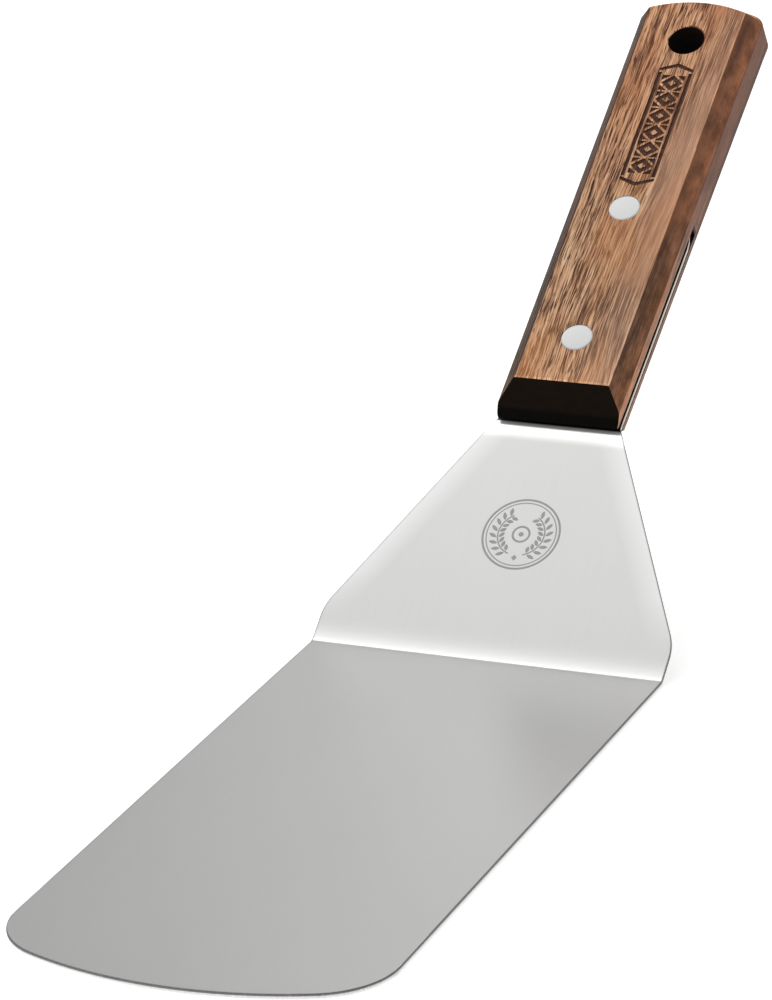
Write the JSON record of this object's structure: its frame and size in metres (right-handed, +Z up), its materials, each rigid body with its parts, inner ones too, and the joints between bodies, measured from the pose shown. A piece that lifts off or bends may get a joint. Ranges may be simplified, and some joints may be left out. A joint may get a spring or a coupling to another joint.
{
  "type": "grill spatula",
  "caption": "Offset grill turner: long flat steel blade with rounded front corners, a raised tapering neck and a riveted wooden handle with a hang hole, for lifting and turning food.",
  "frame": {"origin": "centre of the blade's flat underside, halfway between its front edge and the bend line", "axes": "+Z up, square to the blade; +Y from the blade towards the handle; +X across the blade to the right"},
  "size_m": [0.076, 0.2993, 0.1012],
  "materials": {
    "stainless_sheet": "fine satin polish, bare stainless steel",
    "walnut": "open-grained walnut, lightly oiled, near-black at the nose end grain",
    "rivet_steel": "ground flush with the wood, satin"
  },
  "bodies": {
    "root": {"blade_and_tang": "stainless_sheet", "handle": "walnut", "front_rivet_male": "rivet_steel", "front_rivet_female": "rivet_steel", "rear_rivet_male": "rivet_steel", "rear_rivet_female": "rivet_steel"}
  },
  "joints": []
}
